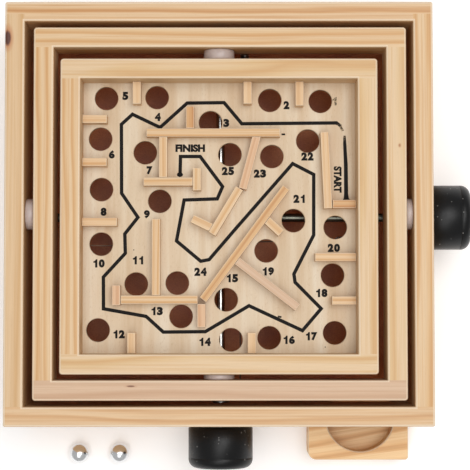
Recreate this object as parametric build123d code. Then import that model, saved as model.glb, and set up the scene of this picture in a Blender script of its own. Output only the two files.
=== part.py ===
from build123d import *
import math
import os

# A wooden tilt maze game, in millimetres. An open pine box holds two nested frames on crossed
# pivots. The outer frame (the gimbal) tilts about X and the inner one, with the maze board, about Y.
# Each is driven by a knob shaft under the board through a wound cord. Balls that drop through the
# board roll down a sloping sheet into a tray at the front. The origin is the centre of the box's
# underside, +Z is up, +X is the right-hand side and -Y is the front.

# ---------------------------------------------------------------- box
BOX_X = 216.0
BOX_Y = 214.0
BOX_H = 74.0
WALL = 10.0
BACK_TONGUE = 6.3      # the back wall's ends are rabbeted to this, over the side walls' ends
BOX_EDGE = 1.5         # rounding of the top edges
BOX_CORNER = 1.0       # rounding of the upright corners

# ---------------------------------------------------------------- tilting frames
RAIL_T = 10.2
RAIL_FOOT = 1.0        # rail below the board's underside
RAIL_EDGE = 1.3
RAIL_CORNER = 1.6
GIMBAL_GAP_X = 4.0     # box wall to gimbal, each side
GIMBAL_GAP_Y = 3.0
GIMBAL_SHIFT_X = 0.5   # the gimbal sits this far to the right between its pivots
BOARD_GAP_X = 3.8      # gimbal to board frame, each side
BOARD_GAP_Y = 4.25
BOARD_SHIFT_Y = -1.4   # the board frame sits this far to the front between its pivots

# ---------------------------------------------------------------- board, holes and maze strips
BOARD_T = 3.5
BOARD_DEPTH = 17.5     # rail top down to the playing surface
GROOVE_D = 2.5
GROOVE_GAP = 0.1
BALL_D = 11.0
HOLE_PLAY = 1.0        # hole diameter over the ball's
HOLE_EASE = 0.3
STRIP_T = 4.2
STRIP_H = 8.0
STRIP_EDGE = 0.4
BUTT_GAP = 0.1         # glue line where a strip meets another strip or a rail

# ---------------------------------------------------------------- pivots
PIVOT_R = 1.5
PIVOT_HEAD_R = 3.0
PIVOT_HEAD_T = 1.2
PIVOT_STOP = 3.2       # a pivot pin ends this far before the inner face of the frame that turns on it
SPACER_R = 7.8
SPACER_PLAY = 0.15     # free gap at each face of a spacer
RUN_GAP = 0.08         # radial gap of a pin or shaft that turns in its hole
SEAT_GAP = 0.03        # radial gap of a nail or pin that is driven in

# ---------------------------------------------------------------- knob shafts and cords
SHAFT_R = 2.25
RIGHT_SHAFT_Y = -0.5
RIGHT_SHAFT_DEPTH = 33.5   # below the top of the box
FRONT_SHAFT_X = 0.5
FRONT_SHAFT_DEPTH = 39.5   # below the top of the box
SHAFT_STOP = 3.5       # wood left behind the blind hole that carries a shaft's far end
SHAFT_END_GAP = 0.5
KNOB_R = 16.8
KNOB_L = 22.0
KNOB_ROUND = 5.0
KNOB_CHAMFER = 0.8
KNOB_BORE_L = 16.0
RIGHT_KNOB_GAP = 0.8   # wall to knob
FRONT_KNOB_GAP = 2.3
RETAINER_R = 4.5
RETAINER_T = 1.2
RETAINER_GAP = 0.4
CORD_D = 0.8
WINDING_L = 3.2
GIMBAL_CORD_X = 12.0   # where the right shaft's cord is wound
BOARD_CORD_Y = -14.0   # where the front shaft's cord is wound
CORD_LEAD = 2.4        # the straight legs start this far off the winding
CORD_PIN_R = 0.8
CORD_PIN_L = 13.0
CORD_PIN_OUT = 5.0     # how far a cord pin hangs below its rail
CORD_PIN_HEAD_R = 1.6
CORD_PIN_HEAD_T = 0.8
CORD_HEIGHT = 3.5      # rail underside down to the cord at its pin
SPRING_R = 2.0         # coil centre-line
SPRING_WIRE = 0.6
SPRING_PITCH = 0.8
SPRING_L = 10.4
SPRING_GAP = 2.2       # pin to the first coil, taken up by the hook

# ---------------------------------------------------------------- ball return and tray
RAMP_T = 3.0
RAMP_SLOPE = 0.056     # fall per millimetre, towards the front right
RAMP_GAP = 0.3
CLEAT_T = 8.0
CLEAT_H = 8.0
CLEAT_FOOT = 0.6       # the cleats stay this far above the table
GUIDE_X = 7.7
GUIDE_Y = 20.0
GUIDE_H = 12.0
CLEAT_CLEAR = 40.0     # the right-hand cleat stops this far behind the front wall
TRAY_W = 53.4
TRAY_H = 18.0
TRAY_RIGHT = 7.6       # tray's right side, in from the box's right side
TRAY_GAP = 0.1
TRAY_LIP = 4.4
TRAY_ROUND_LEFT = 4.5
TRAY_ROUND_RIGHT = 1.8
TRAY_EDGE = 0.6        # easing of the tray's top edges
POCKET_R = 18.0
POCKET_FLOOR = 6.0
POCKET_INSET = 1.0     # pocket centre behind the box's front face
POCKET_FROM_LEFT = 27.7
RAMP_DROP = 1.0        # the ramp ends this far above the pocket floor
ARCH_W = 32.0
ARCH_H = 8.0           # arch above the tray
ARCH_ROUND = 6.0

PAST = 1.0             # how far a cutting tool runs past the face it cuts

# ---------------------------------------------------------------- nails
BRAD_R = 0.8
BRAD_L = 22.0
BRAD_HEAD_R = 1.5
BRAD_HEAD_T = 1.0
BRAD_HEIGHTS = (0.2, 0.5, 0.82)   # shares of the box height

# ---------------------------------------------------------------- balls at rest on the table
BALL_FROM_SIDE = 32.0  # left ball's centre in from the box's left side
BALL_FROM_FRONT = 19.0
BALL_SPACING = 21.7

# ---------------------------------------------------------------- maze layout
# The layout is drawn on a clear board of LAYOUT_X by LAYOUT_Y, from its centre, and follows the board.
LAYOUT_X = 139.6
LAYOUT_Y = 138.7

HOLES = [
    (52, 60), (26, 60.5), (-4.5, 49), (-32, 62), (-58, 61.5),
    (-61, 40.5), (-38, 33.5), (-60.5, 14.5), (-30.5, 8.5), (-60.5, -13.5),
    (-42.5, -34), (-62, -57.5), (-19.5, -50.5), (6, -62.5), (3.5, -42),
    (25.5, -61.5), (59, -59), (58, -29.5), (24, -17), (59.5, -5),
    (38, -1.5), (45.5, 39.5), (27, 31.5), (-21.5, -33.5), (5.5, 32.5),
]

# Short strips that stand against a rail: the rail, the place along it and the length.
EDGE_STUBS = [
    ("back", -42, 11.5), ("back", 14.5, 11.5), ("back", 41, 12.5),
    ("left", 50, 12.5), ("left", 28, 12.5),
    ("front", -44.5, 10.5), ("front", 16.5, 10.5),
    ("right", -42.5, 12.5),
]
RAIL_STRIPS = {
    "strip_left_rail": ("left", -2.5, 17.8),
    "strip_right_rail": ("right", -20.5, 21.0),
    "strip_start": ("right", 6.5, 12.0),
}

# Strips on the open board: two ends of the centre line and the strips that this one butts against.
# An end that keeps its distance from a rail or another strip adds that distance in X and Y.
STRIPS = {
    "strip_back_long": ((-37, 43), (31, 43), ()),
    "strip_back_short": ((-14.8, 43), (-14.8, 56.5), ("strip_back_long",)),
    "strip_finish_right": ((-11.3, 13.5), (-11.3, 25), ()),
    "strip_finish_front": ((-38.5, 18), (-11.3, 18), ("strip_finish_right",)),
    "strip_finish_left": ((-28.5, 43), (-28.5, 18), ("strip_back_long", "strip_finish_front")),
    "strip_start_side": ((69.8, 43.3, -16.2, 0), (69.8, 4.3, -14.4, 0), ()),
    "strip_middle_upper": ((19.6, 43), (12, 14.3), ("strip_back_long",)),
    "strip_middle_lower": ((12, 14.3, -1.7, 0.3), (-3.6, -8.7), ("strip_middle_upper",)),
    "strip_middle_spur": ((-13.7, -0.8), (-2.5, -6.2), ("strip_middle_lower",)),
    "strip_front_long": ((-52.2, -42, 2.3, 0), (-9, -42, -1.9, 0), ()),
    "strip_diagonal": ((34.1, 15), (-8.2, -42.1), ("strip_front_long",)),
    "strip_diagonal_stub": ((23.4, -0.8), (31.5, -8.3), ("strip_diagonal",)),
    "strip_diagonal_spur": ((7.4, -21), (39.8, -46), ("strip_diagonal",)),
    "strip_left_tall": ((-32.1, -42), (-32.1, -1), ("strip_front_long",)),
    "strip_front_left": ((-52.2, -44.8), (-52.2, -34.7), ()),
    "strip_front_right": ((-9, -56), (-9, -44.2), ("strip_front_long", "strip_diagonal")),
}


# ---------------------------------------------------------------- rectangles (x0, x1, y0, y1)
def inset(rect, dx, dy):
    x0, x1, y0, y1 = rect
    return (x0 + dx, x1 - dx, y0 + dy, y1 - dy)


def shifted(rect, dx, dy):
    x0, x1, y0, y1 = rect
    return (x0 + dx, x1 + dx, y0 + dy, y1 + dy)


box_out = (-BOX_X / 2, BOX_X / 2, -BOX_Y / 2, BOX_Y / 2)
box_in = inset(box_out, WALL, WALL)
gimbal_out = shifted(inset(box_in, GIMBAL_GAP_X, GIMBAL_GAP_Y), GIMBAL_SHIFT_X, 0)
gimbal_in = inset(gimbal_out, RAIL_T, RAIL_T)
board_out = shifted(inset(gimbal_in, BOARD_GAP_X, BOARD_GAP_Y), -GIMBAL_SHIFT_X, BOARD_SHIFT_Y)
board_in = inset(board_out, RAIL_T, RAIL_T)

play_z = BOX_H - BOARD_DEPTH
board_z = play_z - BOARD_T
rail_z = board_z - RAIL_FOOT
pivot_z = (BOX_H + rail_z) / 2
right_shaft_z = BOX_H - RIGHT_SHAFT_DEPTH
front_shaft_z = BOX_H - FRONT_SHAFT_DEPTH
cord_r = SHAFT_R + CORD_D / 2
cord_z = rail_z - CORD_HEIGHT


# ---------------------------------------------------------------- basic solids
def block(rect, z0, z1):
    """An upright box on a rectangle, from z0 to z1."""
    x0, x1, y0, y1 = rect
    return Pos((x0 + x1) / 2, (y0 + y1) / 2, (z0 + z1) / 2) * Box(x1 - x0, y1 - y0, z1 - z0)


def rod(start, direction, radius, length):
    """A round rod that starts at a point and runs along a direction."""
    along = Plane(origin=start, z_dir=direction)
    return along * Cylinder(radius, length, align=(Align.CENTER, Align.CENTER, Align.MIN))


def tube(start, direction, outer, bore, length):
    return rod(start, direction, outer, length) - rod(start, direction, bore, length)


def nail(start, direction, radius, length, head_r, head_t):
    """A nail whose head face is at the start point."""
    return rod(start, direction, radius, length) + rod(start, direction, head_r, head_t)


def group(solids):
    return Compound(children=list(solids))


# ---------------------------------------------------------------- frames of four rails
def sanded_frame(outer, inner, z0, z1, corner, edge):
    """A four-sided frame with rounded upright corners and rounded top edges."""
    body = block(outer, z0, z1)
    body = fillet(body.edges().filter_by(Axis.Z), corner)
    body -= block(inner, z0, z1)
    return fillet(body.faces().sort_by(Axis.Z)[-1].edges(), edge)


def four_sides(frame, outer, inner, tongue):
    """The frame's front, back, left and right pieces: the sides butt between front and back.
    The back piece's ends are as thick as the tongue."""
    x0, x1, y0, y1 = inset(outer, -PAST, -PAST)
    tall = (-PAST, BOX_H + PAST)
    front_region = block((x0, x1, y0, inner[2]), *tall)
    back_region = block((x0, x1, outer[3] - tongue, y1), *tall)
    back_region += block((inner[0], inner[1], inner[3], y1), *tall)
    middle = frame - front_region - back_region
    left_region = block((x0, 0, y0, y1), *tall)
    return {
        "front": frame & front_region,
        "back": frame & back_region,
        "left": middle & left_region,
        "right": middle - left_region,
    }


# ---------------------------------------------------------------- ball return
tray_x1 = BOX_X / 2 - TRAY_RIGHT
tray_x0 = tray_x1 - TRAY_W
pocket_x = tray_x0 + POCKET_FROM_LEFT
pocket_y = box_out[2] + POCKET_INSET
tray_y0 = pocket_y - POCKET_R - TRAY_LIP

ramp_low = (pocket_x, box_in[2], POCKET_FLOOR + RAMP_DROP)
ramp_top = Plane(origin=ramp_low, z_dir=(RAMP_SLOPE / math.sqrt(2), -RAMP_SLOPE / math.sqrt(2), 1))
ramp_under = ramp_top.offset(-RAMP_T)


def between(solid, low, high):
    """The part of a solid above one plane and below another."""
    return split(split(solid, bisect_by=low, keep=Keep.TOP), bisect_by=high, keep=Keep.BOTTOM)


def make_ball_ramp():
    return between(block(inset(box_in, RAMP_GAP, RAMP_GAP), -BOX_H, BOX_H), ramp_under, ramp_top)


def make_ramp_cleats():
    """Four strips along the walls with tops cut to the ramp's slope."""
    x0, x1, y0, y1 = box_in
    places = [
        (x0, x1, y1 - CLEAT_T, y1),
        (x0 + CLEAT_T + RAMP_GAP, tray_x0 - CLEAT_T, y0, y0 + CLEAT_T),
        (x0, x0 + CLEAT_T, y0, y1 - CLEAT_T - RAMP_GAP),
        (x1 - CLEAT_T, x1, y0 + CLEAT_CLEAR, y1 - CLEAT_T - RAMP_GAP),
    ]
    cleats = []
    for place in places:
        strip = between(block(place, -BOX_H, BOX_H), ramp_under.offset(-CLEAT_H), ramp_under)
        cleats.append(strip & block(place, CLEAT_FOOT, BOX_H))
    return group(cleats)


def make_outlet_guide():
    """A wedge in the front right corner that turns a ball into the outlet."""
    x1, y0 = box_in[1] - RAMP_GAP, box_in[2] + RAMP_GAP
    outline = Polyline((x1, y0), (x1 - GUIDE_X, y0), (x1, y0 + GUIDE_Y), close=True)
    wedge = extrude(make_face(outline), BOX_H)
    return between(wedge, ramp_top, ramp_top.offset(GUIDE_H))


def make_ball_tray():
    tray = block((tray_x0, tray_x1, tray_y0, box_in[2]), 0, TRAY_H)
    upright = tray.edges().filter_by(Axis.Z).sort_by(Axis.Y)[:2].sort_by(Axis.X)
    tray = fillet(upright[0], TRAY_ROUND_LEFT)
    right = tray.edges().filter_by(Axis.Z).sort_by(Axis.Y)[:3].sort_by(Axis.X)[-1]
    tray = fillet(right, TRAY_ROUND_RIGHT)
    rims = tray.faces().sort_by(Axis.Z)[-1].edges().sort_by(Axis.Y)[:-1]
    tray = fillet(rims, TRAY_EDGE)
    tray -= rod((pocket_x, pocket_y, POCKET_FLOOR), (0, 0, 1), POCKET_R, TRAY_H)
    top_arcs = tray.faces().sort_by(Axis.Z)[-1].edges().filter_by(GeomType.CIRCLE)
    return chamfer(top_arcs.sort_by(SortBy.RADIUS)[-1], TRAY_EDGE)


# ---------------------------------------------------------------- pivots
def cross_pins(face_out, face_in, axis):
    """Two pivot pins on a common axis through the pivot height: from a frame's outer faces
    inwards, into the frame that turns on them."""
    pins = []
    for outer, inner, sign in ((face_out[0], face_in[0], 1), (face_out[1], face_in[1], -1)):
        reach = abs(inner - outer) + RAIL_T - PIVOT_STOP
        direction = tuple(sign * a for a in axis)
        start = tuple(outer * a for a in axis)
        start = (start[0], start[1], pivot_z)
        pins.append((start, direction, reach))
    return pins


gimbal_pins = cross_pins(box_out[:2], gimbal_out[:2], (1, 0, 0))
board_pins = cross_pins(gimbal_out[2:], board_out[2:], (0, 1, 0))


def make_pins(pins):
    return group(nail(s, d, PIVOT_R, reach, PIVOT_HEAD_R, PIVOT_HEAD_T) for s, d, reach in pins)


def pin_seats(pins):
    """What the pins take out of the frame that holds them."""
    shank, head = PIVOT_R + SEAT_GAP, PIVOT_HEAD_R + SEAT_GAP
    holes = [nail(s, d, shank, reach, head, PIVOT_HEAD_T) for s, d, reach in pins]
    return holes[0] + holes[1]


def pin_bores(pins):
    """The running holes in the frame that turns on the pins."""
    bores = [rod(s, d, PIVOT_R + RUN_GAP, reach + SHAFT_END_GAP) for s, d, reach in pins]
    return bores[0] + bores[1]


def make_spacers(pins, outer_face, inner_face):
    """A disc on each pin that fills the gap between the two frames, less its play."""
    discs = []
    for (start, direction, _), outer, inner in zip(pins, outer_face, inner_face):
        along = [SPACER_PLAY * d + (outer if d else 0) for d in direction[:2]]
        width = abs(inner - outer) - 2 * SPACER_PLAY
        place = (along[0], along[1], pivot_z)
        discs.append(tube(place, direction, SPACER_R, PIVOT_R + SEAT_GAP, width))
    return group(discs)


# ---------------------------------------------------------------- shafts, knobs and cords
def shaft_line(side):
    """A shaft's outer wall face, inner wall face, far wall's inner face, centre and direction."""
    if side == "right":
        return box_out[1], box_in[1], box_in[0], (0, RIGHT_SHAFT_Y, right_shaft_z), (1, 0, 0)
    return box_out[2], box_in[2], box_in[3], (FRONT_SHAFT_X, 0, front_shaft_z), (0, -1, 0)


def on_shaft(side, coordinate):
    """The point of a shaft's centre line at a given X (right shaft) or Y (front shaft)."""
    centre = shaft_line(side)[3]
    return (coordinate, centre[1], centre[2]) if side == "right" else (centre[0], coordinate, centre[2])


def make_knob(side, gap):
    outer, _, _, _, direction = shaft_line(side)
    out = sum(direction)
    start = on_shaft(side, outer + out * gap)
    knob = rod((0, 0, 0), (0, 0, 1), KNOB_R, KNOB_L)
    rims = knob.edges().filter_by(GeomType.CIRCLE).sort_by(Axis.Z)
    knob = fillet(rims[-1], KNOB_ROUND)
    knob = chamfer(knob.edges().filter_by(GeomType.CIRCLE).sort_by(Axis.Z)[0], KNOB_CHAMFER)
    knob -= rod((0, 0, 0), (0, 0, 1), SHAFT_R + SEAT_GAP, KNOB_BORE_L)
    return Plane(origin=start, z_dir=direction) * knob


def shaft_ends(side, gap):
    """Where a shaft ends in its knob, and in the blind hole of the far wall."""
    outer, _, far, _, direction = shaft_line(side)
    out = sum(direction)
    in_knob = gap + KNOB_BORE_L - SHAFT_END_GAP
    in_wall = WALL - SHAFT_STOP - SHAFT_END_GAP
    return outer + out * in_knob, far - out * in_wall


def make_shaft(side, gap):
    near, far = shaft_ends(side, gap)
    return rod(on_shaft(side, far), shaft_line(side)[4], SHAFT_R, abs(near - far))


def shaft_bore(side):
    """The running holes of a shaft in both walls, as one tool from the blind end outwards."""
    outer, _, far, _, direction = shaft_line(side)
    out = sum(direction)
    blind = far - out * (WALL - SHAFT_STOP)
    return rod(on_shaft(side, blind), direction, SHAFT_R + RUN_GAP, abs(outer + out * PAST - blind))


def make_retainer(side):
    _, inner, _, _, direction = shaft_line(side)
    out = sum(direction)
    start = on_shaft(side, inner - out * (RETAINER_GAP + RETAINER_T))
    return tube(start, direction, RETAINER_R, SHAFT_R + SEAT_GAP, RETAINER_T)


def make_winding(side, coordinate):
    direction = shaft_line(side)[4]
    start = on_shaft(side, coordinate - sum(direction) * WINDING_L / 2)
    return tube(start, direction, SHAFT_R + CORD_D, SHAFT_R + SEAT_GAP, WINDING_L)


def leg_angle(reach, rise):
    """The slope of a cord that leaves a shaft's underside and ends reach away and rise above
    the shaft's centre."""
    return math.atan2(rise, reach) + math.asin(cord_r / math.hypot(reach, rise))


def cord_pin_places(rects, across):
    """The middle of the two rails that a cord pulls on, left and right or front and back."""
    outer, inner = rects
    low, high = (0, 1) if across == "x" else (2, 3)
    return (outer[low] + inner[low]) / 2, (outer[high] + inner[high]) / 2


gimbal_pin_y = cord_pin_places((gimbal_out, gimbal_in), "y")
board_pin_x = cord_pin_places((board_out, board_in), "x")
winding_half = WINDING_L / 2 - CORD_D / 2
gimbal_cord_offsets = (GIMBAL_CORD_X - winding_half, GIMBAL_CORD_X + winding_half)
board_cord_offsets = (BOARD_CORD_Y - winding_half, BOARD_CORD_Y + winding_half)


def cord_legs(shaft_at, shaft_height, pins_at, to_point, offsets):
    """For the leg to each pin: its start off the winding, its direction and its clear length.
    to_point turns (across, along, height) into a point."""
    legs = []
    for pin_at, offset in zip(pins_at, offsets):
        sign = 1 if pin_at > shaft_at else -1
        reach, rise = abs(pin_at - shaft_at), cord_z - shaft_height
        slope = leg_angle(reach, rise)
        cos_s, sin_s = math.cos(slope), math.sin(slope)
        full = math.sqrt(reach**2 + rise**2 - cord_r**2) - CORD_PIN_R - CORD_D / 2
        start = to_point(
            shaft_at + sign * (cord_r * sin_s + CORD_LEAD * cos_s),
            offset,
            shaft_height - cord_r * cos_s + CORD_LEAD * sin_s,
        )
        zero = to_point(0, 0, 0)
        tip = to_point(sign * cos_s, 0, sin_s)
        direction = tuple(t - z for t, z in zip(tip, zero))
        legs.append((start, direction, full - CORD_LEAD))
    return legs


def walk(start, direction, distance):
    return tuple(s + d * distance for s, d in zip(start, direction))


def make_cord(legs):
    """Two straight legs; the second one ends at its spring."""
    (start_a, dir_a, len_a), (start_b, dir_b, len_b) = legs
    short = len_b - SPRING_L - SPRING_GAP - CORD_D
    return group([rod(start_a, dir_a, CORD_D / 2, len_a), rod(start_b, dir_b, CORD_D / 2, short)])


def make_spring(leg):
    """A close-wound tension spring in line with a cord leg, near its pin."""
    start, direction, length = leg
    at = walk(start, direction, length - SPRING_L - SPRING_GAP)
    coil = Helix(SPRING_PITCH, SPRING_L, SPRING_R)
    wire = sweep(Plane(origin=coil @ 0, z_dir=coil % 0) * Circle(SPRING_WIRE / 2), path=coil)
    return Plane(origin=at, z_dir=direction) * wire


gimbal_legs = cord_legs(
    RIGHT_SHAFT_Y, right_shaft_z, gimbal_pin_y,
    lambda across, along, height: (along, across, height),
    gimbal_cord_offsets,
)
board_legs = cord_legs(
    FRONT_SHAFT_X, front_shaft_z, board_pin_x,
    lambda across, along, height: (across, along, height),
    board_cord_offsets,
)


def cord_nails(places, radius_gap=0.0):
    """Nails up into the rails' undersides, with their heads down."""
    return [
        nail(
            (x, y, rail_z - CORD_PIN_OUT), (0, 0, 1), CORD_PIN_R + radius_gap, CORD_PIN_L,
            CORD_PIN_HEAD_R, CORD_PIN_HEAD_T,
        )
        for x, y in places
    ]


gimbal_nail_places = list(zip(gimbal_cord_offsets, gimbal_pin_y))
board_nail_places = list(zip(board_pin_x, board_cord_offsets))


def knob_ratio(shaft_height, shaft_offset, pin_at):
    """Knob turn per frame turn: the cord's lever about the pivot over its radius on the shaft,
    as the mean of the two legs."""
    levers = []
    for pin in pin_at:
        sign = 1 if pin > shaft_offset else -1
        slope = leg_angle(abs(pin - shaft_offset), cord_z - shaft_height)
        along = -sign * shaft_offset
        levers.append(cord_r + (pivot_z - shaft_height) * math.cos(slope) - along * math.sin(slope))
    return sum(levers) / len(levers) / cord_r


# ---------------------------------------------------------------- box corner nails
def corner_brads(gap=0.0):
    """Nails through the front and back walls into the side walls' ends."""
    brads = []
    mid = (box_out[1] + box_in[1]) / 2
    shank, head = BRAD_R + gap, BRAD_HEAD_R + gap
    for x in (-mid, mid):
        for share in BRAD_HEIGHTS:
            for y, way in ((box_out[2], 1), (box_out[3], -1)):
                brads.append(nail((x, y, share * BOX_H), (0, way, 0), shank, BRAD_L, head, BRAD_HEAD_T))
    return brads


# ---------------------------------------------------------------- maze
board_mid = ((board_in[0] + board_in[1]) / 2, (board_in[2] + board_in[3]) / 2)
unit_x = (board_in[1] - board_in[0]) / LAYOUT_X
unit_y = (board_in[3] - board_in[2]) / LAYOUT_Y


def layout(x, y, dx=0.0, dy=0.0):
    """A layout point on the board as it was built, with an offset that doesn't stretch with the board."""
    return board_mid[0] + x * unit_x + dx, board_mid[1] + y * unit_y + dy


def make_maze_board():
    reach = GROOVE_D - GROOVE_GAP
    board = block(inset(board_in, -reach, -reach), board_z, play_z)
    for x, y in HOLES:
        board -= rod((*layout(x, y), board_z), (0, 0, 1), (BALL_D + HOLE_PLAY) / 2, BOARD_T)
    rims = [edge for wire in board.faces().sort_by(Axis.Z)[-1].inner_wires() for edge in wire.edges()]
    return chamfer(rims, HOLE_EASE)


def strip_blank(a, b, thickness):
    """A plain strip on the playing surface between two points."""
    (ax, ay), (bx, by) = a, b
    turn = math.degrees(math.atan2(by - ay, bx - ax))
    length = math.hypot(bx - ax, by - ay)
    stick = Box(length, thickness, STRIP_H, align=(Align.MIN, Align.CENTER, Align.MIN))
    return Pos(ax, ay, play_z) * Rot(0, 0, turn) * stick


def eased(strip):
    """The strip's largest piece, with its top edges eased."""
    body = max(strip.solids(), key=lambda s: s.volume)
    return fillet(body.faces().sort_by(Axis.Z)[-1].edges(), STRIP_EDGE)


def rail_strip_ends(rail, place, length):
    """The ends of a strip that stands against a rail's inner face."""
    x0, x1, y0, y1 = inset(board_in, BUTT_GAP, BUTT_GAP)
    x, y = layout(place, place)
    return {
        "back": ((x, y1), (x, y1 - length)),
        "front": ((x, y0), (x, y0 + length)),
        "left": ((x0, y), (x0 + length, y)),
        "right": ((x1, y), (x1 - length, y)),
    }[rail]


def make_strips():
    """All strips on the open board, each cut back to the faces of those it butts against."""
    blanks = {}
    cutters = {}
    for name, (a, b, _) in STRIPS.items():
        ends = (layout(*a), layout(*b))
        blanks[name] = strip_blank(*ends, STRIP_T)
        cutters[name] = strip_blank(*ends, STRIP_T + 2 * BUTT_GAP)
    made = {}
    for name, (_, _, neighbours) in STRIPS.items():
        strip = blanks[name]
        for neighbour in neighbours:
            strip -= cutters[neighbour]
        made[name] = eased(strip)
    return made


# ---------------------------------------------------------------- assembly
def make_box_walls():
    frame = sanded_frame(box_out, box_in, 0, BOX_H, BOX_CORNER, BOX_EDGE)
    walls = four_sides(frame, box_out, box_in, BACK_TONGUE)
    for side in ("left", "right"):
        walls[side] = walls[side] - pin_seats(gimbal_pins) - shaft_bore("right")
    for side in ("front", "back"):
        walls[side] -= shaft_bore("front")
    for brad in corner_brads(SEAT_GAP):
        walls = {name: wall - brad for name, wall in walls.items()}
    through = (box_out[2] - PAST, box_in[2] + PAST)
    notch = block((tray_x0 - TRAY_GAP, tray_x1 + TRAY_GAP, *through), -PAST, TRAY_H + TRAY_GAP)
    arch = block((pocket_x - ARCH_W / 2, pocket_x + ARCH_W / 2, *through), 0, TRAY_H + ARCH_H)
    arch = fillet(arch.edges().filter_by(Axis.Y).sort_by(Axis.Z)[-2:], ARCH_ROUND)
    walls["front"] = walls["front"] - notch - arch
    return {"box_wall_" + side: wall for side, wall in walls.items()}


def make_gimbal_rails():
    frame = sanded_frame(gimbal_out, gimbal_in, rail_z, BOX_H, RAIL_CORNER, RAIL_EDGE)
    rails = four_sides(frame, gimbal_out, gimbal_in, RAIL_T)
    for side in ("left", "right"):
        rails[side] -= pin_bores(gimbal_pins)
    for side, place in zip(("front", "back"), cord_nails(gimbal_nail_places, SEAT_GAP)):
        rails[side] = rails[side] - pin_seats(board_pins) - place
    return {"gimbal_rail_" + side: rail for side, rail in rails.items()}


def make_board_rails():
    frame = sanded_frame(board_out, board_in, rail_z, BOX_H, RAIL_CORNER, RAIL_EDGE)
    rails = four_sides(frame, board_out, board_in, RAIL_T)
    groove = block(inset(board_in, -GROOVE_D, -GROOVE_D), board_z - GROOVE_GAP, play_z + GROOVE_GAP)
    for side in ("front", "back"):
        rails[side] -= pin_bores(board_pins)
    for side, place in zip(("left", "right"), cord_nails(board_nail_places, SEAT_GAP)):
        rails[side] -= place
    return {"board_rail_" + side: rail - groove for side, rail in rails.items()}


def make_ball(from_side):
    """A loose ball on the table in front of the box."""
    return Pos(box_out[0] + from_side, box_out[2] - BALL_FROM_FRONT, BALL_D / 2) * Sphere(BALL_D / 2)


nodes = {}
nodes.update(make_box_walls())
nodes["ball_ramp"] = make_ball_ramp()
nodes["ramp_cleats"] = make_ramp_cleats()
nodes["outlet_guide_block"] = make_outlet_guide()
nodes["ball_tray"] = make_ball_tray()
nodes["box_corner_brads"] = group(corner_brads())
nodes["gimbal_pivot_pins"] = make_pins(gimbal_pins)
nodes["gimbal_pivot_spacers"] = make_spacers(gimbal_pins, box_in[:2], gimbal_out[:2])

nodes.update(make_gimbal_rails())
nodes["board_pivot_pins"] = make_pins(board_pins)
nodes["board_pivot_spacers"] = make_spacers(board_pins, gimbal_in[2:], board_out[2:])
nodes["gimbal_cord_pins"] = group(cord_nails(gimbal_nail_places))

nodes.update(make_board_rails())
nodes["maze_board"] = make_maze_board()
nodes["board_cord_pins"] = group(cord_nails(board_nail_places))
nodes["edge_stub_strips"] = group(
    eased(strip_blank(*rail_strip_ends(*stub), STRIP_T)) for stub in EDGE_STUBS
)
for strip_name, rail_strip in RAIL_STRIPS.items():
    nodes[strip_name] = eased(strip_blank(*rail_strip_ends(*rail_strip), STRIP_T))
nodes.update(make_strips())

for side, gap, winding_at in (
    ("right", RIGHT_KNOB_GAP, GIMBAL_CORD_X),
    ("front", FRONT_KNOB_GAP, BOARD_CORD_Y),
):
    nodes[side + "_knob"] = make_knob(side, gap)
    nodes[side + "_shaft"] = make_shaft(side, gap)
    nodes[side + "_shaft_retainer"] = make_retainer(side)
    nodes[side + "_cord_winding"] = make_winding(side, winding_at)

nodes["gimbal_cord"] = make_cord(gimbal_legs)
nodes["gimbal_cord_spring"] = make_spring(gimbal_legs[1])
nodes["board_cord"] = make_cord(board_legs)
nodes["board_cord_spring"] = make_spring(board_legs[1])
nodes["steel_ball_left"] = make_ball(BALL_FROM_SIDE)
nodes["steel_ball_right"] = make_ball(BALL_FROM_SIDE + BALL_SPACING)

os.makedirs("parts", exist_ok=True)
for name, shape in nodes.items():
    export_step(shape, f"parts/{name}.step")

print("nodes", len(nodes))
print("right knob turns per gimbal turn", round(knob_ratio(right_shaft_z, RIGHT_SHAFT_Y, gimbal_pin_y), 3))
print("front knob turns per board turn", round(knob_ratio(front_shaft_z, FRONT_SHAFT_X, board_pin_x), 3))
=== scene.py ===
"""A wooden tilt maze game: pine box, two nested tilting frames, a printed plywood maze board,
black knobs on steel shafts with wound drive cords, and steel balls.

Everything is in metres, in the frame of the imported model."""
import math

import bpy
import numpy as np
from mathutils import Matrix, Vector


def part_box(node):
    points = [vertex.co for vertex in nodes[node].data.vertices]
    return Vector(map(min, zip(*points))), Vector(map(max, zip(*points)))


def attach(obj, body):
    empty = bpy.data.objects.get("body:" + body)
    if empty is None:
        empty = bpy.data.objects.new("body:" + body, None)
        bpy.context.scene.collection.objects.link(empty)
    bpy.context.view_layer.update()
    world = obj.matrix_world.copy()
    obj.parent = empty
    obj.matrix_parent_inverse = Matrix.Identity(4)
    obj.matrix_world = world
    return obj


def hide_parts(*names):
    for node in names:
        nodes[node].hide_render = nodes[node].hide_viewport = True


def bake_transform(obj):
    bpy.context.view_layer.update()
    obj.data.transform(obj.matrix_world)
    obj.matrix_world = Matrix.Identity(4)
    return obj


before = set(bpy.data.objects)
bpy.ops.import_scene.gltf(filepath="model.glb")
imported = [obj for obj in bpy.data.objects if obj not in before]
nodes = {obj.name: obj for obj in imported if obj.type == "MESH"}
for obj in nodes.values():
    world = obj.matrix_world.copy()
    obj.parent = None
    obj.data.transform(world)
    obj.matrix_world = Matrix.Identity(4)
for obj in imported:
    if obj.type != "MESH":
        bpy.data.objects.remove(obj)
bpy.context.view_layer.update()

MM = 0.001


# ---------------------------------------- places read from the frame
def corners(name):
    """The lowest and highest corner of a node's box."""
    low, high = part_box(name)
    return np.array(low), np.array(high)


def middle(name):
    """The middle of a node's box."""
    low, high = corners(name)
    return (low + high) / 2


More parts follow.
